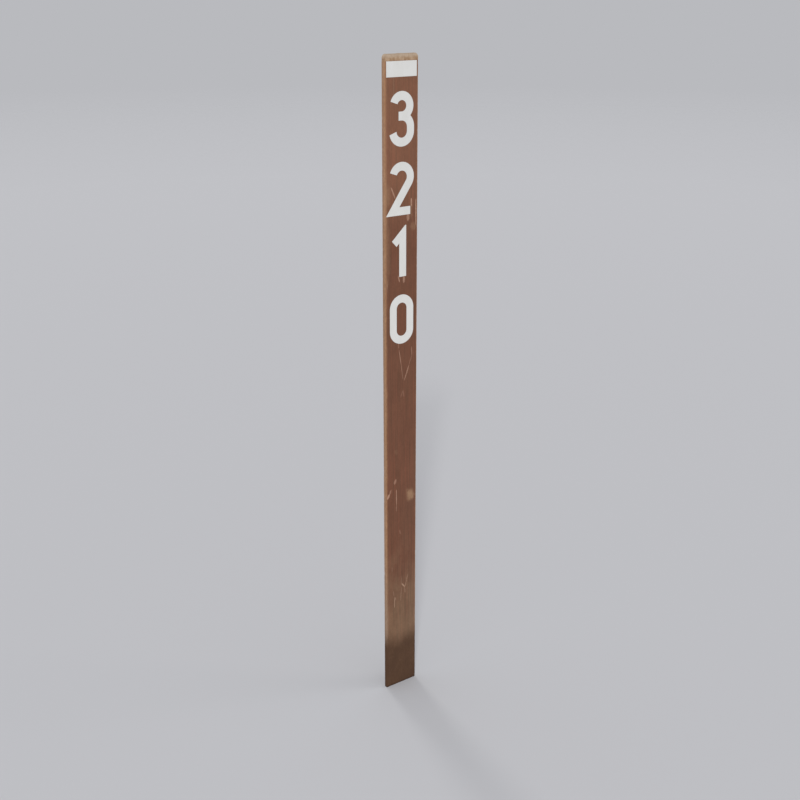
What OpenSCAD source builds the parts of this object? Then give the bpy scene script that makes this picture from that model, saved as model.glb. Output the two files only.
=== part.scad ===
// Flexible composite road number post with a reflective strip and four stuck-on numerals.
// Millimetres. The origin is the centre of the ground end, +Z is up and the face looks along -Y.

/* [Post] */
// Length from the ground end to the top
post_h = 1676.4; // [1400:0.1:1980]
// Width across the face
post_w = 95.25; // [92:0.25:110]
// Depth from the face to the crests of the ribs
post_d = 9.5; // [8:0.1:13]
// Thickness of the flat plate that the face is on
plate_t = 4; // [3:0.1:5.5]
// Radius of the two top corners, seen from the front
corner_r = 9.5; // [3:0.5:20]
// Radius of the long outer edges and of the rib crests
edge_r = 0.8; // [0.5:0.1:1.6]

/* [Back ribs] */
// Width of the rib along each edge
edge_rib_w = 9; // [6:0.5:14]
// Width of the rib down the middle
centre_rib_w = 14; // [8:0.5:20]
// Radius where a rib meets the plate
root_r = 2; // [0.5:0.1:2.5]

/* [Reflective strip] */
// Thickness of the reflective sheeting, for the strip and the numerals
sheet_t = 0.4; // [0.2:0.05:1]
// Width of the strip
strip_w = 85; // [60:0.5:88]
// Height of the strip
strip_h = 34.75; // [20:0.25:60]
// Bare post between its top and the strip
strip_drop = 16.25; // [8:0.25:25]
// Distance of the strip's middle from the post's middle, to the right
strip_shift = 1.1; // [-2:0.1:2]

/* [Numerals] */
// Top numeral
digit_1 = 3; // [0:1:9]
// Second numeral
digit_2 = 2; // [0:1:9]
// Third numeral
digit_3 = 1; // [0:1:9]
// Bottom numeral
digit_4 = 0; // [0:1:9]
// Height of a numeral
numeral_h = 125; // [110:0.5:140]
// Half the width of a round numeral
bowl_r = 35; // [32:0.1:38]
// Width of every stroke
stroke = 20.25; // [16:0.25:22]
// Distance of the numerals' middle from the post's middle, to the right
numeral_shift = 1.5; // [-2:0.1:2]

/* [Numeral spacing] */
// Bare post between the strip and the top numeral
gap_0 = 31.25; // [15:0.25:60]
// Bare post between the first and second numerals
gap_1 = 35; // [10:0.5:60]
// Bare post between the second and third numerals
gap_2 = 24.5; // [10:0.5:60]
// Bare post between the third and bottom numerals
gap_3 = 45; // [10:0.5:60]

/* [Hidden] */
$fn = 96;
// Overlap that lets joined shapes and cuts run past each other
lap = 1;

post_brown = "#7C5B48";
sheet_white = "#D6D6D4";

face_y = -post_d / 2;
plate_back_y = face_y + plate_t;
edge_rib_in = post_w / 2 - edge_rib_w;

digits = [digit_1, digit_2, digit_3, digit_4];
gaps = [gap_0, gap_1, gap_2, gap_3];

// Numerals are drawn from their foot up, about their middle
// Level where the lower bowl of a 3, 5, 6, 8 or 9 ends
low_top = 0.635 * numeral_h;
// Level where the upper bowl of a 3 or 8 starts, one stroke lower
high_foot = low_top - stroke;
// Lean of the straight stroke of a 2 or 7, from upright
lean = 35;
// Slope of the flag of a 1 and of the back of a 4, from level
flag_slope = 43;
flag_reach = 0.31 * numeral_h;
// Direction of the cut ends of the round strokes, from the right
end_cut = 161;

// Turns the next shape to face out of the post's face, standing on it
module on_face(x, z) {
  translate([x, face_y, z]) rotate([90, 0, 0]) linear_extrude(sheet_t) children();
}

// Rectangle about the middle with round corners
module soft_bar(w, d, r) {
  square([w - 2 * r, d], center = true);
  square([w, d - 2 * r], center = true);
  for (x = [-1, 1], y = [-1, 1]) translate([x * (w / 2 - r), y * (d / 2 - r)]) circle(r);
}

// Fills the corner between the plate's back and a rib that stands at x = 0, to the right
module root_fillet() {
  difference() {
    translate([-lap, -lap]) square(root_r + lap);
    translate([root_r, root_r]) circle(root_r);
  }
}

// Section through the post, seen from above
module post_section() {
  translate([-post_w / 2 + edge_r, face_y]) square([post_w - 2 * edge_r, plate_t]);
  soft_bar(centre_rib_w, post_d, edge_r);
  for (side = [0, 1]) mirror([side, 0]) {
    translate([(post_w - edge_rib_w) / 2, 0]) soft_bar(edge_rib_w, post_d, edge_r);
    translate([centre_rib_w / 2, plate_back_y]) root_fillet();
    translate([edge_rib_in, plate_back_y]) mirror([1, 0]) root_fillet();
  }
}

// What is cut off to round the top corner on the right
module corner_waste() {
  translate([post_w / 2 - corner_r, post_d, post_h - corner_r]) rotate([90, 0, 0])
    linear_extrude(2 * post_d) difference() {
      square(corner_r + lap);
      circle(corner_r);
    }
}

module post() {
  color(post_brown) difference() {
    linear_extrude(post_h) post_section();
    for (side = [0, 1]) mirror([side, 0, 0]) corner_waste();
  }
}

module reflector_strip() {
  color(sheet_white) on_face(strip_shift - strip_w / 2, post_h - strip_drop - strip_h)
    square([strip_w, strip_h]);
}

// Points along an arc
function arc(centre, r, from, to, steps = 36) =
  [for (i = [0:steps]) let (a = from + i * (to - from) / steps) centre + r * [cos(a), sin(a)]];

// Upright shape with round ends between two levels
module pill(foot, top, half_w) {
  r = min(half_w, (top - foot) / 2);
  straight = top - foot - 2 * r;
  translate([0, foot + r]) circle(r);
  if (straight > 0.01) {
    translate([-r, foot + r]) square([2 * r, straight]);
    translate([0, top - r]) circle(r);
  }
}

// Closed round stroke between two levels
module loop(foot, top) {
  difference() {
    pill(foot, top, bowl_r);
    pill(foot + stroke, top - stroke, min(bowl_r, (top - foot) / 2) - stroke);
  }
}

// Wedge from a point, wide enough to cut any stroke, between two directions
module wedge(y, from, to) {
  polygon([[0, y], each arc([0, y], 2 * numeral_h, from, to, 3)]);
}

module zero() {
  loop(0, numeral_h);
}

module one() {
  right = 0.65 * stroke;
  left = right - stroke;
  flag_top = [right - 0.13 * stroke, numeral_h];
  flag_tip = flag_top - flag_reach * [1, tan(flag_slope)];
  flag_foot = flag_tip + 0.95 * stroke * [sin(flag_slope), -cos(flag_slope)];
  crotch = [left, flag_foot.y + (left - flag_foot.x) * tan(flag_slope)];
  polygon([[left, 0], [right, 0], [right, numeral_h], flag_top, flag_tip, flag_foot, crotch]);
}

module two() {
  centre = [0, numeral_h - bowl_r];
  inner_r = bowl_r - stroke;
  // Where the inner and outer sides of the arch run on as straight lines
  inner = centre + inner_r * [cos(lean), -sin(lean)];
  outer = centre + bowl_r * [cos(lean), -sin(lean)];
  foot_h = 0.96 * stroke;
  foot_right = 0.71 * bowl_r;
  polygon([
    each arc(centre, bowl_r, end_cut, -lean),
    [outer.x - (outer.y - foot_h) * tan(lean), foot_h], [foot_right, foot_h], [foot_right, 0],
    [inner.x - inner.y * tan(lean), 0],
    each arc(centre, inner_r, -lean, end_cut)
  ]);
}

module three() {
  bar = 0.25 * bowl_r;
  difference() {
    loop(high_foot, numeral_h);
    wedge((high_foot + numeral_h) / 2, end_cut, 270);
  }
  difference() {
    loop(0, low_top);
    wedge(low_top / 2, 90, 360 - end_cut);
  }
  translate([-bar, high_foot]) square([2 * bar, stroke]);
}

module four() {
  right = 0.75 * bowl_r;
  left = right - stroke;
  bar_foot = 0.21 * numeral_h;
  bar_top = bar_foot + 0.95 * stroke;
  difference() {
    polygon([
      [-bowl_r, bar_foot], [-bowl_r, bar_top], [left, numeral_h], [right, numeral_h],
      [right, bar_top], [bowl_r, bar_top], [bowl_r, bar_foot], [right, bar_foot],
      [right, 0], [left, 0], [left, bar_foot]
    ]);
    polygon([[-bowl_r + stroke, bar_top], [left, bar_top], [left, numeral_h - stroke]]);
  }
}

module five() {
  left = -0.8 * bowl_r;
  stem_w = 0.95 * stroke;
  difference() {
    loop(0, low_top);
    wedge(low_top / 2, atan2(high_foot - low_top / 2, left + stem_w), 360 - end_cut);
  }
  translate([left, high_foot]) square([stem_w, numeral_h - high_foot]);
  translate([left, numeral_h - stroke]) square([1.7 * bowl_r, stroke]);
}

module six() {
  loop(0, low_top);
  difference() {
    loop(0, numeral_h);
    wedge(numeral_h - bowl_r, -90, 50);
    translate([-lap, 0]) square([2 * bowl_r, numeral_h - bowl_r]);
    translate([-2 * bowl_r, -lap]) square([4 * bowl_r, low_top / 2 + lap]);
  }
}

module seven() {
  right = 0.9 * bowl_r;
  foot_right = 0.17 * stroke;
  foot_left = foot_right - 1.17 * stroke;
  bar_foot = numeral_h - stroke;
  polygon([
    [-right, numeral_h], [right, numeral_h], [right, bar_foot], [foot_right, 0], [foot_left, 0],
    [right - 1.3 * stroke, bar_foot], [-right, bar_foot]
  ]);
}

module eight() {
  loop(0, low_top);
  loop(high_foot, numeral_h);
}

module nine() {
  translate([0, numeral_h]) rotate(180) six();
}

module digit(value) {
  if (value == 0) zero();
  if (value == 1) one();
  if (value == 2) two();
  if (value == 3) three();
  if (value == 4) four();
  if (value == 5) five();
  if (value == 6) six();
  if (value == 7) seven();
  if (value == 8) eight();
  if (value == 9) nine();
}

// Level of the top of numeral i, counted from 0
function numeral_top(i) =
  i == 0 ? post_h - strip_drop - strip_h - gaps[0] : numeral_top(i - 1) - numeral_h - gaps[i];

module numeral(i) {
  color(sheet_white) on_face(numeral_shift, numeral_top(i) - numeral_h) digit(digits[i]);
}

post();
reflector_strip();
for (i = [0:3]) numeral(i);
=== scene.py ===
from math import cos, pi, radians, sin

import bmesh
import bpy
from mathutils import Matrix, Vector


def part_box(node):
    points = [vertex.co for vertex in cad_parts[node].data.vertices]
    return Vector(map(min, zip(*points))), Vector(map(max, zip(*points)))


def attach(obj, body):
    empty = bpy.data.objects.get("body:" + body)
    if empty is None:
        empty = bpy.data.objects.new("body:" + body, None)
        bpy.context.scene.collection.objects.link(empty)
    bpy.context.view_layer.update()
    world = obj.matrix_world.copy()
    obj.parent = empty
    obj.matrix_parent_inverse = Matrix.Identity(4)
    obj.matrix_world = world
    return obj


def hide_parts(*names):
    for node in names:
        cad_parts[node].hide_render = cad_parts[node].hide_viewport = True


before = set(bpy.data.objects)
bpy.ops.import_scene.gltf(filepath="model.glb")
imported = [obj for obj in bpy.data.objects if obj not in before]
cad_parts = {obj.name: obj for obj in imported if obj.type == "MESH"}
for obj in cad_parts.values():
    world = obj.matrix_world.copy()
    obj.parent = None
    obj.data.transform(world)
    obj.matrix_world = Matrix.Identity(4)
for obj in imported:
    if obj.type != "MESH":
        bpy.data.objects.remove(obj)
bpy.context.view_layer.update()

MM = 0.001
# Turns metres into mm
IN_MM = 1 / MM
# Points closer together than this are one point
WELD = 0.00001
scene = bpy.context.scene
scene.view_settings.view_transform = "Standard"

POST_LOW, POST_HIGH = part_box("post")
POST_HEIGHT = POST_HIGH.z - POST_LOW.z
HALF_WIDTH = POST_HIGH.x
FACE_Y = POST_LOW.y
BACK_Y = POST_HIGH.y

# Sizes of the post's section and of its top corners, as in the part's source
PLATE = 4 * MM
EDGE_RIB = 9 * MM
CENTRE_RIB = 14 * MM
LONG_EDGE_RADIUS = 0.8 * MM
ROOT_RADIUS = 2 * MM
CORNER_RADIUS = 9.5 * MM

# Fine finish that the solids leave out
TOP_EDGE_RADIUS = 0.5 * MM
CHIP_DEPTH = 0.3 * MM
CUT_EDGE_BEVEL = 0.1 * MM


# Node arithmetic

class Term:
    """A number that nodes work out, so that a tree reads as arithmetic."""

    def __init__(self, tree, socket):
        self.tree = tree
        self.socket = socket

    def __add__(self, other):
        return work_out(self.tree, "ADD", self, other)

    def __radd__(self, other):
        return work_out(self.tree, "ADD", other, self)

    def __sub__(self, other):
        return work_out(self.tree, "SUBTRACT", self, other)

    def __rsub__(self, other):
        return work_out(self.tree, "SUBTRACT", other, self)

    def __mul__(self, other):
        return work_out(self.tree, "MULTIPLY", self, other)

    def __truediv__(self, other):
        return work_out(self.tree, "DIVIDE", self, other)

    def __abs__(self):
        return work_out(self.tree, "ABSOLUTE", self)

    def at_least(self, other):
        return work_out(self.tree, "MAXIMUM", self, other)

    def at_most(self, other):
        return work_out(self.tree, "MINIMUM", self, other)

    def root(self):
        return work_out(self.tree, "SQRT", self)

    def power(self, other):
        return work_out(self.tree, "POWER", self, other)

    def rise(self, low, high):
        """0 below low, 1 above high, and a soft step between. It falls where low is above high."""
        node = put(self.tree, "ShaderNodeMapRange", interpolation_type="SMOOTHSTEP")
        feed(node.inputs["Value"], self)
        feed(node.inputs["From Min"], low)
        feed(node.inputs["From Max"], high)
        return Term(self.tree, node.outputs["Result"])


def put(tree, kind, **settings):
    node = tree.nodes.new(kind)
    for name, value in settings.items():
        setattr(node, name, value)
    return node


def feed(socket, value):
    """Links a socket to a term or an output, or sets its plain value."""
    if isinstance(value, Term):
        value = value.socket
    if isinstance(value, bpy.types.NodeSocket):
        value.node.id_data.links.new(value, socket)
    else:
        socket.default_value = value


def work_out(tree, operation, *terms):
    node = put(tree, "ShaderNodeMath", operation=operation)
    for socket, term in zip(node.inputs, terms):
        feed(socket, term)
    return Term(tree, node.outputs[0])


def reckon(tree, operation, *terms):
    """One vector sum. Dot products and lengths come out as a term, the rest as a vector output."""
    node = put(tree, "ShaderNodeVectorMath", operation=operation)
    for socket, term in zip(node.inputs, terms):
        feed(socket, term)
    if operation in ("DOT_PRODUCT", "LENGTH"):
        return Term(tree, node.outputs["Value"])
    return node.outputs["Vector"]


def scaled(tree, vector, factor):
    node = put(tree, "ShaderNodeVectorMath", operation="SCALE")
    feed(node.inputs[0], vector)
    feed(node.inputs["Scale"], factor)
    return node.outputs["Vector"]


def split(tree, vector):
    node = put(tree, "ShaderNodeSeparateXYZ")
    feed(node.inputs[0], vector)
    return [Term(tree, output) for output in node.outputs]


def join(tree, x, y, z):
    node = put(tree, "ShaderNodeCombineXYZ")
    for socket, term in zip(node.inputs, (x, y, z)):
        feed(socket, term)
    return node.outputs[0]


def cloud(tree, place, size, detail=2.0, roughness=0.5):
    """Smooth noise from 0 to 1. Size is the span of one patch: a number, or three for a stretched one."""
    spans = size if isinstance(size, tuple) else (size, size, size)
    stretched = reckon(tree, "MULTIPLY", place, [1 / span for span in spans])
    node = put(tree, "ShaderNodeTexNoise", noise_dimensions="3D")
    feed(node.inputs["Vector"], stretched)
    feed(node.inputs["Scale"], 1.0)
    feed(node.inputs["Detail"], detail)
    feed(node.inputs["Roughness"], roughness)
    return Term(tree, node.outputs[0])


# Places of the colour sockets on a Mix node, which gives the same names to several kinds
MIX_SHARE, MIX_UNDER, MIX_OVER, MIX_RESULT = 0, 6, 7, 2


def tint(tree, share, under, over):
    """Lays one colour over another by a share from 0 to 1."""
    node = put(tree, "ShaderNodeMix", data_type="RGBA", clamp_factor=True)
    feed(node.inputs[MIX_SHARE], share)
    feed(node.inputs[MIX_UNDER], under)
    feed(node.inputs[MIX_OVER], over)
    return node.outputs[MIX_RESULT]


def paint(code):
    """A colour written as on a paint card, in the renderer's own scale."""
    levels = [int(code[i:i + 2], 16) / 255 for i in (1, 3, 5)]
    linear = [v / 12.92 if v <= 0.04045 else ((v + 0.055) / 1.055) ** 2.4 for v in levels]
    return (*linear, 1.0)


# Node groups: the effects that the materials share

SOCKETS = {"number": "NodeSocketFloat", "vector": "NodeSocketVector"}


def effect(name, inputs, output):
    """Starts a shader group that puts out one number. Inputs are (name, kind, value)."""
    tree = bpy.data.node_groups.new(name, "ShaderNodeTree")
    for label, kind, value in inputs:
        socket = tree.interface.new_socket(name=label, in_out="INPUT", socket_type=SOCKETS[kind])
        if value is not None:
            socket.default_value = value
    tree.interface.new_socket(name=output, in_out="OUTPUT", socket_type=SOCKETS["number"])
    source = put(tree, "NodeGroupInput").outputs
    drain = put(tree, "NodeGroupOutput").inputs
    return tree, source, drain


def source_term(tree, source, label):
    """One of a group's own inputs as a term."""
    return Term(tree, source[label])


def apply_effect(tree, group, values, output):
    """Places a group in a material with its own values, and gives its output as a term."""
    node = put(tree, "ShaderNodeGroup")
    node.node_tree = group
    for label, value in values.items():
        feed(node.inputs[label], value)
    return Term(tree, node.outputs[output])


def build_grain():
    """Fine threads along the post, about 0."""
    tree, source, drain = effect(
        "lengthwise grain",
        [("Place", "vector", None), ("Thread width", "number", 0.8), ("Thread length", "number", 60.0)],
        "Grain",
    )
    width = source_term(tree, source, "Thread width")
    length = source_term(tree, source, "Thread length")
    x, y, z = split(tree, source["Place"])
    place = join(tree, x / width, y / width, z / length)
    fine = cloud(tree, place, 1.0, detail=3.0, roughness=0.6)
    feed(drain["Grain"], (fine - 0.5) * 2)
    return tree


def build_mottle():
    """Uneven patches from 0 to 1, soft or sharp."""
    tree, source, drain = effect(
        "mottle",
        [
            ("Place", "vector", None),
            ("Patch size", "number", 12.0),
            ("Stretch", "number", 1.0),
            ("Softness", "number", 0.2),
            ("Shift", "number", 0.0),
        ],
        "Mask",
    )
    size = source_term(tree, source, "Patch size")
    stretch = source_term(tree, source, "Stretch")
    softness = source_term(tree, source, "Softness")
    x, y, z = split(tree, source["Place"])
    shifted = x / size + source_term(tree, source, "Shift")
    place = join(tree, shifted, y / size, z / (size * stretch))
    patches = cloud(tree, place, 1.0, detail=3.5, roughness=0.55)
    feed(drain["Mask"], patches.rise(0.5 - softness, softness + 0.5))
    return tree


# Shares of a scratch's width, from its middle line, at which it starts and stops to fade
SCRATCH_CORE = 0.2
SCRATCH_BORDER = 0.62
# How much thinner a scratch is at its ends, and how late it thins
SCRATCH_TAPER = 0.55
SCRATCH_TAPER_POWER = 3.0


def build_scratch():
    """One scratch from a start to an end point, thinner at its ends."""
    tree, source, drain = effect(
        "scratch",
        [
            ("Place", "vector", None),
            ("Start", "vector", (0.0, 0.0, 0.0)),
            ("End", "vector", (0.0, 0.0, 10.0)),
            ("Width", "number", 2.0),
            ("Strength", "number", 1.0),
        ],
        "Mask",
    )
    run = reckon(tree, "SUBTRACT", source["End"], source["Start"])
    offset = reckon(tree, "SUBTRACT", source["Place"], source["Start"])
    along = reckon(tree, "DOT_PRODUCT", offset, run) / reckon(tree, "DOT_PRODUCT", run, run)
    along = along.at_least(0.0).at_most(1.0)
    distance = reckon(tree, "LENGTH", reckon(tree, "SUBTRACT", offset, scaled(tree, run, along)))
    end_share = abs(along - 0.5) * 2
    taper = end_share.power(SCRATCH_TAPER_POWER) * SCRATCH_TAPER
    width = source_term(tree, source, "Width") * (1.0 - taper)
    mask = distance.rise(width * SCRATCH_BORDER, width * SCRATCH_CORE)
    feed(drain["Mask"], mask * source_term(tree, source, "Strength"))
    return tree


def build_patch():
    """A soft worn patch about a point, with its own width and height."""
    tree, source, drain = effect(
        "worn patch",
        [
            ("Place", "vector", None),
            ("Middle", "vector", (0.0, 0.0, 0.0)),
            ("Half width", "number", 10.0),
            ("Half height", "number", 15.0),
            ("Softness", "number", 0.5),
            ("Strength", "number", 1.0),
        ],
        "Mask",
    )
    offset = reckon(tree, "SUBTRACT", source["Place"], source["Middle"])
    x, _, z = split(tree, offset)
    half_width = source_term(tree, source, "Half width")
    half_height = source_term(tree, source, "Half height")
    reach = reckon(tree, "LENGTH", join(tree, x / half_width, 0.0, z / half_height))
    softness = source_term(tree, source, "Softness")
    mask = reach.rise(softness + 1.0, 1.0 - softness)
    feed(drain["Mask"], mask * source_term(tree, source, "Strength"))
    return tree


GRAIN = build_grain()
MOTTLE = build_mottle()
SCRATCH = build_scratch()
PATCH = build_patch()


def grained(tree, place, width, length):
    return apply_effect(tree, GRAIN, {
        "Place": place,
        "Thread width": width,
        "Thread length": length,
    }, "Grain")


def mottled(tree, place, patch_size, stretch, softness, shift=0.0):
    return apply_effect(tree, MOTTLE, {
        "Place": place,
        "Patch size": patch_size,
        "Stretch": stretch,
        "Softness": softness,
        "Shift": shift,
    }, "Mask")


def blank_material(name):
    material = bpy.data.materials.new(name)
    material.use_nodes = True
    tree = material.node_tree
    tree.nodes.clear()
    shader = put(tree, "ShaderNodeBsdfPrincipled")
    output = put(tree, "ShaderNodeOutputMaterial")
    tree.links.new(shader.outputs[0], output.inputs["Surface"])
    return material, tree, shader


def place_in_mm(tree):
    coordinates = put(tree, "ShaderNodeTexCoord")
    return scaled(tree, coordinates.outputs["Object"], IN_MM)


def raised(tree, height, depth_mm, strength):
    """A bump of a real depth, from a height from 0 to 1."""
    node = put(tree, "ShaderNodeBump")
    node.inputs["Strength"].default_value = strength
    node.inputs["Distance"].default_value = depth_mm * MM
    feed(node.inputs["Height"], height)
    return node.outputs["Normal"]


# The composite. Its layers measure in mm, and a depth is a distance below the top of the post

HEIGHT_MM = POST_HEIGHT / MM
HALF_MM = HALF_WIDTH / MM
FACE_MM = FACE_Y / MM

# Distances behind the face between which the sides and the back give way to the face
SIDE_TO_FACE = (0.9, 0.3)
# Depths between which the brown goes from bleached to full
BLEACHED_TO_FULL = (260.0, 460.0)
# Depths between which dust gathers, and how far its border strays with blotches and bundles
DUST_GATHERS = (1220.0, 1530.0)
DUST_STRAYS = (120.0, 80.0)
# Depths between which the left stops being paler, and those at which the right turns greyer
LEFT_PALER = (540.0, 320.0)
RIGHT_GREYER = (880.0, 1150.0)
# How far rubbing reaches in: on the left of the face, how much farther lower down and between
# which depths that starts, on the left side and the back, and from the right edge
LEFT_REACH = 8.3
LEFT_REACH_LOWER = 1.8
LEFT_WIDER = (540.0, 450.0)
BACK_REACH = 2.6
RIGHT_REACH = 3.4
# Depths between which the bare band across the top ends, and those of its paler and darker rims
BARE_BAND = (18.8, 13.0)
PALE_RIM = (12.5, 3.0)
DARK_RIM = (3.0, 0.3)
# Depths between which the skin gives way to the rough sawn top
SAWN_TOP = (0.6, 0.1)
# Soil: the depth of its line, how far it fades up and down, where across it hangs lowest and by
# how much, how much higher it stands at the left edge, and over what span its border strays
SOIL_LINE = 1524.5
SOIL_FADES = (32.0, 38.0)
SOIL_LOBE = -6.0
SOIL_LOBE_DROP = 9.0
SOIL_LEFT_RISE = 6.0
SOIL_STRAYS = 30.0

BLEACHED_BROWN = paint("#8B5F48")
FULL_BROWN = paint("#7A513D")
DUSTY_BROWN = paint("#86674F")
RUBBED_SIDE = paint("#C7A282")
RUBBED_FACE = paint("#C39773")
RUBBED_BLOTCH = paint("#AF8059")
RUBBED_DUSTY = paint("#9F9084")
RUBBED_STRAND = paint("#95704F")
BARE_DARK = paint("#AB8867")
BARE_PALE = paint("#CDB092")
BARE_PALE_RIM = paint("#D6C3AC")
BARE_DARK_RIM = paint("#A99885")
BARE_SPECKLE = paint("#A17E60")
BARE_STRAND = paint("#94724F")
SCRATCHED = paint("#CDA289")
SCRATCHED_DUSTY = paint("#CFB194")
RUBBED_PATCH = paint("#C09A77")
EARTH = paint("#5D4330")
EARTH_SPECKLE = paint("#664B38")
EARTH_BLOTCH = paint("#563E2E")

# Scratches on the face: start and end as (across, depth), then width and strength
SCRATCHES = (
    (-21, 52, -20.5, 96, 3.0, 0.15),
    (-29, 299, -17, 326, 4.0, 0.7),
    (30, 331, 29.6, 348, 4.4, 0.85),
    (42.6, 332, 43.4, 395, 3.2, 0.8),
    (20.5, 366, 20, 382, 9.5, 0.52),
    (-8.5, 514, -4.8, 529, 3.6, 0.7),
    (8.4, 515, 8, 533, 7.0, 0.6),
    (-41, 530, -41.4, 549, 3.6, 0.2),
    (-7.6, 686, -7.6, 698, 3.6, 0.35),
    (-5.8, 704, 0.4, 743, 2.6, 0.6),
    (0.4, 743, 5.9, 781, 2.6, 0.34),
    (31.5, 701, 33.2, 724, 3.2, 0.36),
    (33.4, 722, 24.2, 748, 3.0, 0.24),
    (24.2, 748, 9.9, 785, 3.0, 0.62),
    (6, 811, -1, 828, 3.0, 0.2),
    (6, 811, 9, 829, 3.0, 0.22),
    (-16.5, 1053, -20.5, 1064, 8.5, 0.46),
    (-31, 1079, -36.5, 1090, 5.0, 0.42),
    (-36.5, 1090, -43, 1101, 7.0, 0.8),
    (-14.6, 1082, -14.5, 1127, 2.8, 0.68),
    (-14.5, 1127, -14.4, 1144, 2.8, 0.34),
    (-4.4, 1202, -2, 1214, 3.4, 0.28),
    (-29, 1306, -29, 1318, 3.4, 0.2),
    (1.4, 1342, 2.2, 1368, 2.6, 0.16),
    (22, 1344, 16.6, 1366, 3.0, 0.36),
    (16.6, 1366, 13, 1378, 3.0, 0.4),
    (3, 1366, 12.4, 1377.5, 4.0, 0.72),
    (12.8, 1378, 13, 1396, 3.0, 0.38),
    (2, 1376, -1.4, 1416, 2.8, 0.26),
    (-24.6, 1380, -23.6, 1394, 3.2, 0.24),
    (-19.5, 1400, -17.4, 1408, 3.4, 0.34),
    (-20.2, 1400, -21.6, 1431, 3.2, 0.48),
)

# Soft rubs on the face: middle as (across, depth), half width, half height and strength
RUBS = (
    (-40, 318, 9, 24, 0.26),
    (-39.5, 455, 6.5, 80, 0.16),
    (29.5, 358, 3.5, 16, 0.24),
    (-41, 528, 4.5, 10, 0.36),
    (28.8, 1107, 10, 16, 0.6),
    (36, 397, 8, 9, 0.24),
    (-16, 974, 4, 6, 0.1),
)
RUB_SOFTNESS = 0.62
# How far noise moves the outlines of marks, as (across, along): scratches wobble and fray, rubs swirl
SCRATCH_WOBBLE = (1.4, 2.0)
SCRATCH_FRAY = (2.6, 8.0)
RUB_SWIRL = (16.0, 22.0)


class Skin:
    """The skin of the composite: where a point is, and the noise that the layers share."""

    def __init__(self, tree):
        self.tree = tree
        self.place = place_in_mm(tree)
        self.x, y, z = split(tree, self.place)
        self.across = self.x / HALF_MM
        self.depth = HEIGHT_MM - z
        self.from_left = self.x + HALF_MM
        self.from_right = HALF_MM - self.x
        side, face = SIDE_TO_FACE
        self.on_face = y.rise(FACE_MM + side, FACE_MM + face)
        self.thread = grained(tree, self.place, width=0.55, length=45.0)
        self.bundle = grained(tree, self.place, width=4.5, length=190.0)
        self.strands = self.thread.rise(-0.1, 0.35)
        self.blotch = mottled(tree, self.place, 26.0, stretch=2.0, softness=0.25)
        self.speckle = mottled(tree, self.place, 3.0, stretch=2.2, softness=0.22, shift=7.3)
        self.ragged = self.noise((9.0, 9.0, 22.0), detail=5.0, roughness=0.7)
        by_blotch, by_bundle = DUST_STRAYS
        strayed = self.depth + (self.blotch - 0.5) * by_blotch + self.bundle * by_bundle
        self.dust = strayed.rise(*DUST_GATHERS)

    def noise(self, size, detail=2.0, roughness=0.5):
        """Noise about 0."""
        return cloud(self.tree, self.place, size, detail, roughness) - 0.5


def brown_body(skin):
    """The brown itself: bleached at the top, full in the middle and dusty towards the ground."""
    tree = skin.tree
    colour = tint(tree, skin.depth.rise(*BLEACHED_TO_FULL), BLEACHED_BROWN, FULL_BROWN)
    colour = tint(tree, skin.dust, colour, DUSTY_BROWN)
    shade = 1.0 + skin.thread * 0.16 + skin.bundle * 0.42
    shade = shade + (skin.speckle - 0.5) * 0.10 + (skin.blotch - 0.5) * 0.12
    shade = shade - skin.across * skin.depth.rise(*LEFT_PALER) * 0.05
    greyer = skin.across * skin.depth.rise(*RIGHT_GREYER)
    green = 1.0 - skin.bundle * 0.22 + greyer * 0.04
    blue = 1.0 - skin.bundle * 0.22 + greyer * 0.07
    return reckon(tree, "MULTIPLY", colour, join(tree, shade, shade * green, shade * blue))


def edge_rubbing(skin):
    """How rubbed the edges are: wide on the left of the face and thin elsewhere."""
    wave = skin.noise((60.0, 60.0, 110.0), detail=1.0)
    face_reach = LEFT_REACH + skin.depth.rise(*LEFT_WIDER) * LEFT_REACH_LOWER
    face_reach = face_reach + skin.ragged * 9.0 + wave * 3.0
    other_reach = BACK_REACH + skin.ragged * 5.0
    reach = face_reach * skin.on_face + other_reach * (1.0 - skin.on_face)
    left = skin.from_left.rise(reach, -0.8)
    right = skin.from_right.rise(RIGHT_REACH + skin.ragged * 6.0, -0.4) * 0.8
    return left.at_least(right) * (0.64 + skin.speckle * 0.36)


def rubbed_tan(skin):
    """The tan that rubbing lays bare, greyer with dust and darker between the strands."""
    tree = skin.tree
    tan = tint(tree, skin.on_face, RUBBED_SIDE, RUBBED_FACE)
    tan = tint(tree, skin.blotch * 0.5, tan, RUBBED_BLOTCH)
    tan = tint(tree, skin.dust * 0.55, tan, RUBBED_DUSTY)
    return tint(tree, skin.strands * 0.28, tan, RUBBED_STRAND)


def bare_fibre(skin):
    """The bare fibre of the band across the top."""
    tree = skin.tree
    patches = mottled(tree, skin.place, 6.5, stretch=1.5, softness=0.18, shift=2.0)
    bare = tint(tree, patches, BARE_DARK, BARE_PALE)
    bare = tint(tree, skin.depth.rise(*PALE_RIM) * 0.72, bare, BARE_PALE_RIM)
    bare = tint(tree, skin.depth.rise(*DARK_RIM) * 0.45, bare, BARE_DARK_RIM)
    bare = tint(tree, skin.speckle * 0.25, bare, BARE_SPECKLE)
    return tint(tree, skin.strands * 0.32, bare, BARE_STRAND)


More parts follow.
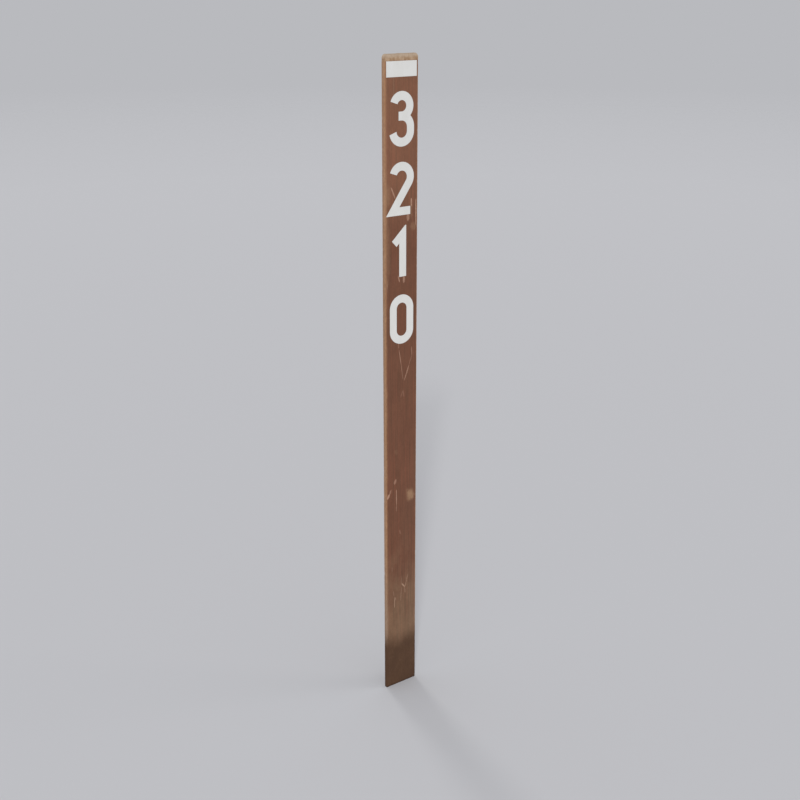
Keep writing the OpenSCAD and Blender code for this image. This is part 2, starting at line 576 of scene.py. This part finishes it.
def scratches(skin):
    """All scratches as one mask, frayed along their sides."""
    tree = skin.tree
    wobble = skin.noise(7.0)
    fray = skin.noise((0.9, 0.9, 3.6), detail=3.0, roughness=0.65)
    across = skin.x + wobble * SCRATCH_WOBBLE[0] + fray * SCRATCH_FRAY[0]
    depth = skin.depth + wobble * SCRATCH_WOBBLE[1] + fray * SCRATCH_FRAY[1]
    place = join(tree, across, 0.0, depth)
    masks = 0.0
    for start_x, start_depth, end_x, end_depth, width, strength in SCRATCHES:
        masks = apply_effect(tree, SCRATCH, {
            "Place": place,
            "Start": (start_x, 0.0, start_depth),
            "End": (end_x, 0.0, end_depth),
            "Width": width,
            "Strength": strength,
        }, "Mask").at_least(masks)
    return masks


def rubs(skin):
    """All soft rubs as one mask, with their outlines blurred."""
    tree = skin.tree
    swirl = skin.noise((9.0, 9.0, 14.0), detail=3.0)
    across = skin.x + swirl * RUB_SWIRL[0]
    depth = skin.depth + swirl * RUB_SWIRL[1]
    place = join(tree, across, 0.0, depth)
    masks = 0.0
    for middle_x, middle_depth, half_width, half_height, strength in RUBS:
        masks = apply_effect(tree, PATCH, {
            "Place": place,
            "Middle": (middle_x, 0.0, middle_depth),
            "Half width": half_width,
            "Half height": half_height,
            "Softness": RUB_SOFTNESS,
            "Strength": strength,
        }, "Mask").at_least(masks)
    return masks


def breaks(skin):
    """How strongly a mark shows from fibre to fibre, so that it looks broken up."""
    return cloud(skin.tree, skin.place, (0.7, 0.7, 9.0), detail=3.0).rise(0.34, 0.60) * 0.5 + 0.58


def soiling(skin):
    """How soiled the length is that stood in the ground, with an uneven border."""
    border = skin.noise((16.0, 16.0, 30.0), detail=3.5, roughness=0.6)
    lobe = abs(skin.x - SOIL_LOBE).rise(24.0, 3.0)
    by_edge = skin.from_left.rise(13.0, 1.0)
    level = SOIL_LINE + lobe * SOIL_LOBE_DROP - by_edge * SOIL_LEFT_RISE + border * SOIL_STRAYS
    above, below = SOIL_FADES
    return skin.depth.rise(level - above, level + below)


def earth(skin):
    """The colour of the soiled length."""
    colour = tint(skin.tree, skin.speckle, EARTH, EARTH_SPECKLE)
    return tint(skin.tree, skin.blotch * 0.8, colour, EARTH_BLOTCH)


def composite_material():
    """Brown glass-fibre composite: grain along the post, rubbed edges, marks, dust and a soiled foot."""
    material, tree, shader = blank_material("composite")
    shader.inputs["Specular IOR Level"].default_value = 0.2
    skin = Skin(tree)
    edges = edge_rubbing(skin)
    broken = breaks(skin)
    rubbed = rubs(skin) * broken * skin.on_face
    scratched = scratches(skin) * broken * skin.on_face
    soil = soiling(skin)
    top_band = (skin.depth + skin.ragged * 5.0).rise(*BARE_BAND)

    colour = tint(tree, edges, brown_body(skin), rubbed_tan(skin))
    colour = tint(tree, top_band, colour, bare_fibre(skin))
    colour = tint(tree, rubbed, colour, RUBBED_PATCH)
    colour = tint(tree, scratched, colour, tint(tree, skin.dust, SCRATCHED, SCRATCHED_DUSTY))
    colour = tint(tree, soil, colour, earth(skin))
    feed(shader.inputs["Base Color"], colour)

    sawn = skin.depth.rise(*SAWN_TOP)
    roughness = 0.55 + sawn * 0.4 + edges * 0.2 + soil * 0.25
    roughness = roughness + scratched.at_least(rubbed) * 0.15 + skin.thread * 0.04
    feed(shader.inputs["Roughness"], roughness)
    relief = skin.thread * 0.5 + 0.5 - scratched * 0.6 + skin.speckle * (edges + soil) * 0.5
    feed(shader.inputs["Normal"], raised(tree, relief, 0.06, 0.6))
    return material


# The sheeting

SHEET_WHITE = paint("#EDECE6")
SHEET_HAZE = paint("#F3F2EE")
DARKENED_CUT = paint("#A99F92")
# Distances in mm in front of the post's face between which a cut edge goes from plain white to darker,
# darkest next to the face
CUT_DARKENS = (0.36, 0.1)


def sheeting_material():
    """White reflective sheeting with a fine bead grain, its cut edge coloured darker towards the post's
    face.
    """
    material, tree, shader = blank_material("sheeting")
    place = place_in_mm(tree)
    _, y, _ = split(tree, place)
    bead = cloud(tree, place, 0.35, detail=1.0)
    haze = mottled(tree, place, 18.0, stretch=1.6, softness=0.3, shift=3.1)
    colour = tint(tree, haze, SHEET_WHITE, SHEET_HAZE)
    shade = 1.0 + (bead - 0.5) * 0.05
    colour = reckon(tree, "MULTIPLY", colour, join(tree, shade, shade, shade))
    # The cut edge is coloured darker the nearer it comes to the post's face.
    plain_until, darkest_from = CUT_DARKENS
    cut_edge = y.rise(FACE_MM - plain_until, FACE_MM - darkest_from)
    colour = tint(tree, cut_edge * 0.6, colour, DARKENED_CUT)
    feed(shader.inputs["Base Color"], colour)
    feed(shader.inputs["Roughness"], 0.42 + bead * 0.12)
    feed(shader.inputs["Normal"], raised(tree, bead, 0.02, 0.5))
    return material


COMPOSITE = composite_material()
SHEETING = sheeting_material()


# The post: its section, and the tree that draws it out to length

FRONT = Vector((0, -1))
RIGHT = Vector((1, 0))
BACK = Vector((0, 1))
# Short flat beside each outer rounded edge, which keeps the shading of the wide flats even
FLAT_BY_EDGE = 0.3 * MM
# Width of the ring of faces just inside the outline of each end
END_RIM = 0.35 * MM


def turn(centre, radius, start, end, steps):
    """Points and outward directions along an arc, both ends included. Angles are in degrees."""
    points = []
    for i in range(steps + 1):
        angle = radians(start + (end - start) * i / steps)
        direction = Vector((cos(angle), sin(angle)))
        points.append((centre + radius * direction, direction))
    return points


def hollow_turn(centre, radius, start, end, steps):
    """The same along a hollow corner, where outwards is towards the centre."""
    return [(point, -direction) for point, direction in turn(centre, radius, start, end, steps)]


def run(start, end, direction, spacing):
    """Even points strictly between two ends, all facing one way."""
    count = max(1, round((end - start).length / spacing))
    return [(start.lerp(end, i / count), direction) for i in range(1, count)]


def face_and_edge():
    """The right half of the face, from its middle, and the right edge up to the crest of its rib."""
    r = LONG_EDGE_RADIUS
    edge_x = HALF_WIDTH - r
    middle = Vector((0, FACE_Y))
    bend = Vector((HALF_WIDTH - CORNER_RADIUS, FACE_Y))
    face_end = Vector((edge_x - FLAT_BY_EDGE, FACE_Y))
    edge_start = Vector((HALF_WIDTH, FACE_Y + r + FLAT_BY_EDGE))
    edge_end = Vector((HALF_WIDTH, BACK_Y - r - FLAT_BY_EDGE))
    return [
        (middle, FRONT),
        *run(middle, bend, FRONT, 2.6 * MM),
        (bend, FRONT),
        *run(bend, face_end, FRONT, 0.8 * MM),
        (face_end, FRONT),
        *turn(Vector((edge_x, FACE_Y + r)), r, -90, 0, 6),
        (edge_start, RIGHT),
        *run(edge_start, edge_end, RIGHT, 1.8 * MM),
        (edge_end, RIGHT),
        *turn(Vector((edge_x, BACK_Y - r)), r, 0, 90, 6),
    ]


def ribs_and_channel():
    """The right half of the back: crest of the edge rib, channel, and half of the middle rib."""
    r = LONG_EDGE_RADIUS
    crest_start = Vector((HALF_WIDTH - r, BACK_Y))
    rib_in = HALF_WIDTH - EDGE_RIB
    crest_end = Vector((rib_in + r, BACK_Y))
    core = CENTRE_RIB / 2
    floor_y = FACE_Y + PLATE
    floor_start = Vector((rib_in - ROOT_RADIUS, floor_y))
    floor_end = Vector((core + ROOT_RADIUS, floor_y))
    core_crest = Vector((core - r, BACK_Y))
    to_root = Vector((0, ROOT_RADIUS))
    to_crest = Vector((0, r))
    return [
        *run(crest_start, crest_end, BACK, 0.9 * MM),
        *turn(crest_end - to_crest, r, 90, 180, 5),
        *hollow_turn(floor_start + to_root, ROOT_RADIUS, 0, -90, 6),
        *run(floor_start, floor_end, BACK, 3 * MM),
        *hollow_turn(floor_end + to_root, ROOT_RADIUS, -90, -180, 6),
        *turn(core_crest - to_crest, r, 0, 90, 5),
        *run(core_crest, Vector((0, BACK_Y)), BACK, 2 * MM),
    ]


def section_outline():
    """The outline of the section, seen from above and counterclockwise, as (point, outward direction)."""
    right = face_and_edge() + ribs_and_channel()
    left = [
        (Vector((-point.x, point.y)), Vector((-direction.x, direction.y)))
        for point, direction in reversed(right[1:])
    ]
    return [*right, (Vector((0, BACK_Y)), BACK), *left]


def section_mesh():
    """The filled section, flat on the ground: the outline first, then a ring just inside it."""
    outline = section_outline()
    bm = bmesh.new()
    outward = bm.verts.layers.float_vector.new("outward")
    rings = []
    for inset in (0.0, END_RIM):
        ring = []
        for point, direction in outline:
            vert = bm.verts.new((*(point - direction * inset), 0.0))
            vert[outward] = (*direction, 0.0)
            ring.append(vert)
        rings.append(ring)
    outer, inner = rings
    count = len(outer)
    for i in range(count):
        j = (i + 1) % count
        bm.faces.new((outer[i], outer[j], inner[j], inner[i]))
    rim_edges = [bm.edges.get((inner[i], inner[(i + 1) % count])) for i in range(count)]
    bmesh.ops.triangle_fill(bm, edges=rim_edges, use_beauty=True, normal=(0, 0, 1))
    mesh = bpy.data.meshes.new("post section")
    bm.to_mesh(mesh)
    bm.free()
    return mesh


# Rows of points up the wall, how many steps of them round the top edge, and how strongly the rest
# crowd towards the top
WALL_ROWS = 420
CROWN_ROWS = 3
ROW_CROWDING = 1.3
# Length at the top over which the rows follow the round corners down
CORNER_REACH = 0.03
# Chips: the span of one in mm, and the noise levels between which it deepens
CHIP_SIZE = (3.0, 3.0, 9.0)
CHIP_LEVELS = (0.50, 0.72)
# Distances in from the side edges, and heights above the top, between which chips set in
CHIPS_BY_EDGE = (0.0016, 0.0003)
CHIPS_BY_TOP = (-0.004, 0.0)
# Which of the chips' patterns is used, and how far apart the patterns lie in the noise, in mm
CHIP_SEED = 4.0
SEED_STEP = 97.0

DRAWING_INPUTS = (
    ("Geometry", "NodeSocketGeometry"),
    ("Length", "NodeSocketFloat"),
    ("Half width", "NodeSocketFloat"),
    ("Rows", "NodeSocketInt"),
    ("Corner radius", "NodeSocketFloat"),
    ("Top edge radius", "NodeSocketFloat"),
    ("Chip depth", "NodeSocketFloat"),
    ("Seed", "NodeSocketFloat"),
    ("Finish", "NodeSocketMaterial"),
)


def pass_through(tree, kind, geometry, **values):
    """One geometry node that takes a shape first and gives it back changed."""
    node = put(tree, kind)
    feed(node.inputs[0], geometry)
    for label, value in values.items():
        feed(node.inputs[label], value)
    return node.outputs[0]


def outward_direction(tree):
    node = put(tree, "GeometryNodeInputNamedAttribute", data_type="FLOAT_VECTOR")
    node.inputs["Name"].default_value = "outward"
    return node.outputs["Attribute"]


def at_outline_point(tree, section, value, index):
    """What a vector is at one point of the outline."""
    node = put(tree, "GeometryNodeSampleIndex", data_type="FLOAT_VECTOR", domain="POINT")
    feed(node.inputs["Geometry"], section)
    feed(node.inputs["Value"], value)
    feed(node.inputs["Index"], index)
    return node.outputs[0]


def drawn_wall(tree, source, position):
    """The wall: a grid with one column for each outline point and one more to close it."""
    section = source["Geometry"]
    length = source_term(tree, source, "Length")
    rows = source_term(tree, source, "Rows")
    edge = source_term(tree, source, "Top edge radius")
    index = Term(tree, put(tree, "GeometryNodeInputIndex").outputs[0])

    size = put(tree, "GeometryNodeAttributeDomainSize", component="MESH")
    feed(size.inputs["Geometry"], section)
    points = Term(tree, size.outputs["Point Count"]) / 2
    grid = put(tree, "GeometryNodeMeshGrid")
    feed(grid.inputs["Vertices X"], points + 1)
    feed(grid.inputs["Vertices Y"], rows)

    column = work_out(tree, "FLOOR", (index + 0.5) / rows)
    row = index - column * rows
    column = work_out(tree, "FLOOR", work_out(tree, "MODULO", column + 0.5, points))
    crown_start = rows - (CROWN_ROWS + 1)
    to_crown = 1.0 - (row / crown_start).at_most(1.0)
    over_crown = (row - crown_start).at_least(0.0) / CROWN_ROWS
    level = (length - edge) * (1.0 - to_crown.power(ROW_CROWDING))
    level = level + edge * work_out(tree, "SINE", over_crown * (pi / 2))

    x, y, _ = split(tree, at_outline_point(tree, section, position, column))
    wall = pass_through(
        tree, "GeometryNodeSetPosition", grid.outputs["Mesh"], Position=join(tree, x, y, level)
    )
    marked = put(tree, "GeometryNodeStoreNamedAttribute", data_type="FLOAT_VECTOR", domain="POINT")
    feed(marked.inputs["Geometry"], wall)
    feed(marked.inputs["Name"], "outward")
    feed(marked.inputs["Value"], at_outline_point(tree, section, outward_direction(tree), column))
    return marked.outputs[0]


def closed_post(tree, source, wall):
    """The wall with the section as its top and, turned over, as its foot."""
    section = source["Geometry"]
    lifted = join(tree, 0.0, 0.0, source_term(tree, source, "Length"))
    top = pass_through(tree, "GeometryNodeTransform", section, Translation=lifted)
    foot = pass_through(tree, "GeometryNodeFlipFaces", section)
    whole = put(tree, "GeometryNodeJoinGeometry")
    for part in (wall, top, foot):
        tree.links.new(part, whole.inputs[0])
    return pass_through(tree, "GeometryNodeMergeByDistance", whole.outputs[0], Distance=WELD)


def worn_position(tree, source, position):
    """Where a point goes: the top corners and top edge are rounded, and the edges worn, always inwards."""
    length = source_term(tree, source, "Length")
    half_width = source_term(tree, source, "Half width")
    corner = source_term(tree, source, "Corner radius")
    edge = source_term(tree, source, "Top edge radius")
    x, y, z = split(tree, position)

    over = (abs(x) - (half_width - corner)).at_least(0.0).at_most(corner)
    drop = corner - (corner * corner - over * over).at_least(0.0).root()
    share = ((z - (length - CORNER_REACH)) / CORNER_REACH).at_least(0.0).at_most(1.0)
    lowered = z - drop * share
    rounding = (z - (length - edge)).at_least(0.0).at_most(edge)
    inset = edge - (edge * edge - rounding * rounding).at_least(0.0).root()

    seed = source_term(tree, source, "Seed")
    noise_place = join(tree, x * IN_MM, y * IN_MM, lowered * IN_MM + seed * SEED_STEP)
    chips = cloud(tree, noise_place, CHIP_SIZE).rise(*CHIP_LEVELS)
    near_edge = (half_width - abs(x)).rise(*CHIPS_BY_EDGE)
    near_top = (z - length).rise(*CHIPS_BY_TOP)
    chipped = source_term(tree, source, "Chip depth") * chips * near_edge.at_least(near_top)
    inwards = scaled(tree, outward_direction(tree), inset + chipped)
    return reckon(tree, "SUBTRACT", join(tree, x, y, lowered), inwards)


def build_drawing_tree():
    """Geometry nodes: draws a section out to length, closes it, rounds its top and wears its edges."""
    tree = bpy.data.node_groups.new("drawn post", "GeometryNodeTree")
    for label, kind in DRAWING_INPUTS:
        tree.interface.new_socket(name=label, in_out="INPUT", socket_type=kind)
    tree.interface.new_socket(name="Geometry", in_out="OUTPUT", socket_type="NodeSocketGeometry")
    source = put(tree, "NodeGroupInput").outputs
    drain = put(tree, "NodeGroupOutput").inputs
    position = put(tree, "GeometryNodeInputPosition").outputs[0]
    closed = closed_post(tree, source, drawn_wall(tree, source, position))
    moved = worn_position(tree, source, position)
    shaped = pass_through(tree, "GeometryNodeSetPosition", closed, Position=moved)
    smooth = pass_through(tree, "GeometryNodeSetShadeSmooth", shaped)
    real = pass_through(tree, "GeometryNodeRealizeInstances", smooth)
    finished = pass_through(tree, "GeometryNodeSetMaterial", real, Material=source["Finish"])
    feed(drain["Geometry"], finished)
    return tree


def set_inputs(modifier, values):
    sockets = {s.name: s.identifier for s in modifier.node_group.interface.items_tree if s.in_out == "INPUT"}
    for label, value in values.items():
        modifier[sockets[label]] = value


def as_plain_mesh(obj, name):
    """The evaluated shape of an object as a new object with a plain mesh."""
    bpy.context.view_layer.update()
    mesh = bpy.data.meshes.new_from_object(obj.evaluated_get(bpy.context.evaluated_depsgraph_get()))
    mesh.name = name
    made = bpy.data.objects.new(name, mesh)
    scene.collection.objects.link(made)
    bpy.data.objects.remove(obj)
    return made


def make_post():
    raw = bpy.data.objects.new("post blank", section_mesh())
    scene.collection.objects.link(raw)
    modifier = raw.modifiers.new("draw", "NODES")
    modifier.node_group = build_drawing_tree()
    set_inputs(modifier, {
        "Length": POST_HEIGHT,
        "Half width": HALF_WIDTH,
        "Rows": WALL_ROWS,
        "Corner radius": CORNER_RADIUS,
        "Top edge radius": TOP_EDGE_RADIUS,
        "Chip depth": CHIP_DEPTH,
        "Seed": CHIP_SEED,
        "Finish": COMPOSITE,
    })
    post = as_plain_mesh(raw, "composite_post")
    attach(post, "root")
    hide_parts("post")


make_post()


# The sheeting: each stuck-on piece is its CAD solid with a softened cut edge

# Faces that turn less than this are one flat, and those that turn more than this meet at an edge
FLAT_ANGLE = radians(1)
EDGE_ANGLE = radians(45)


def make_sheet(node):
    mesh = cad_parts[node].data.copy()
    bm = bmesh.new()
    bm.from_mesh(mesh)
    bmesh.ops.remove_doubles(bm, verts=bm.verts, dist=WELD)
    bmesh.ops.dissolve_limit(bm, angle_limit=FLAT_ANGLE, verts=bm.verts, edges=bm.edges)
    front = min(v.co.y for v in bm.verts)
    cut_edge = [
        e for e in bm.edges
        if all(abs(v.co.y - front) < WELD for v in e.verts) and e.calc_face_angle(0) > EDGE_ANGLE
    ]
    bmesh.ops.bevel(bm, geom=cut_edge, offset=CUT_EDGE_BEVEL, segments=2, profile=0.5, affect="EDGES")
    bmesh.ops.recalc_face_normals(bm, faces=bm.faces)
    bm.to_mesh(mesh)
    bm.free()
    mesh.materials.clear()
    mesh.materials.append(SHEETING)
    piece = bpy.data.objects.new(node + "_sheet", mesh)
    scene.collection.objects.link(piece)
    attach(piece, "root")
    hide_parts(node)


for node in ("reflector_strip", "numeral_1", "numeral_2", "numeral_3", "numeral_4"):
    make_sheet(node)


# Floor, light and camera, in metres

STUDIO_GREY = paint("#B9BABE")
FLOOR_NEAR = paint("#CFCFD1")
FLOOR_FAR = paint("#D1D1D3")
FLOOR_RADIUS = 25.0
# Distances from the post: between the first two the floor changes colour, and from the third on
# it fades into the backdrop over the fourth
FLOOR_PALES = (1.0, 8.0)
FLOOR_FADE_START = 8.5
FLOOR_FADE_LENGTH = 9.8

# Name, azimuth from +X towards +Y, elevation, how wide the lamp looks, all in degrees, and strength
LAMPS = (
    ("key lamp", 232.6, 35.5, 6.2, 1.162),
    ("back lamp", 80.2, 54.0, 9.3, 0.326),
    ("fill lamp", 328.3, 32.1, 19.0, 0.212),
)

CAMERA_PLACE = (-1.5148, -2.1398, 1.8364)
# Degrees up from looking straight down, and degrees to the right of looking along +Y
CAMERA_TILT = 69.169
CAMERA_HEADING = 35.298


def make_floor():
    """A wide pale floor that fades into the backdrop far behind the post."""
    bm = bmesh.new()
    bmesh.ops.create_circle(bm, cap_ends=True, segments=128, radius=FLOOR_RADIUS)
    mesh = bpy.data.meshes.new("floor")
    bm.to_mesh(mesh)
    bm.free()
    floor = bpy.data.objects.new("floor", mesh)
    scene.collection.objects.link(floor)
    material, tree, shader = blank_material("floor")
    shader.inputs["Roughness"].default_value = 0.9
    shader.inputs["Specular IOR Level"].default_value = 0.5
    coordinates = put(tree, "ShaderNodeTexCoord")
    reach = reckon(tree, "LENGTH", coordinates.outputs["Object"])
    feed(shader.inputs["Base Color"], tint(tree, reach.rise(*FLOOR_PALES), FLOOR_NEAR, FLOOR_FAR))
    clear = put(tree, "ShaderNodeBsdfTransparent")
    mix = put(tree, "ShaderNodeMixShader")
    faded = (reach - FLOOR_FADE_START) / FLOOR_FADE_LENGTH
    feed(mix.inputs[0], faded.at_least(0.0).at_most(1.0))
    tree.links.new(shader.outputs[0], mix.inputs[1])
    tree.links.new(clear.outputs[0], mix.inputs[2])
    output = next(n for n in tree.nodes if n.type == "OUTPUT_MATERIAL")
    tree.links.new(mix.outputs[0], output.inputs["Surface"])
    mesh.materials.append(material)


def make_lamp(name, azimuth, elevation, spread, strength):
    """A soft distant lamp."""
    lamp = bpy.data.lights.new(name, "SUN")
    lamp.energy = strength
    lamp.angle = radians(spread)
    holder = bpy.data.objects.new(name, lamp)
    a = radians(azimuth)
    e = radians(elevation)
    towards_lamp = Vector((cos(e) * cos(a), cos(e) * sin(a), sin(e)))
    holder.rotation_euler = towards_lamp.to_track_quat("Z", "Y").to_euler()
    scene.collection.objects.link(holder)


def make_backdrop():
    world = bpy.data.worlds.new("studio")
    world.use_nodes = True
    background = world.node_tree.nodes["Background"]
    background.inputs["Color"].default_value = STUDIO_GREY
    background.inputs["Strength"].default_value = 1.0
    scene.world = world


def make_camera():
    lens = bpy.data.cameras.new("camera")
    lens.lens = 50.0
    lens.sensor_width = 36.0
    lens.clip_end = 100.0
    camera = bpy.data.objects.new("camera", lens)
    camera.location = CAMERA_PLACE
    camera.rotation_euler = (radians(CAMERA_TILT), 0.0, radians(-CAMERA_HEADING))
    scene.collection.objects.link(camera)
    scene.camera = camera


make_floor()
for lamp in LAMPS:
    make_lamp(*lamp)
make_backdrop()
make_camera()
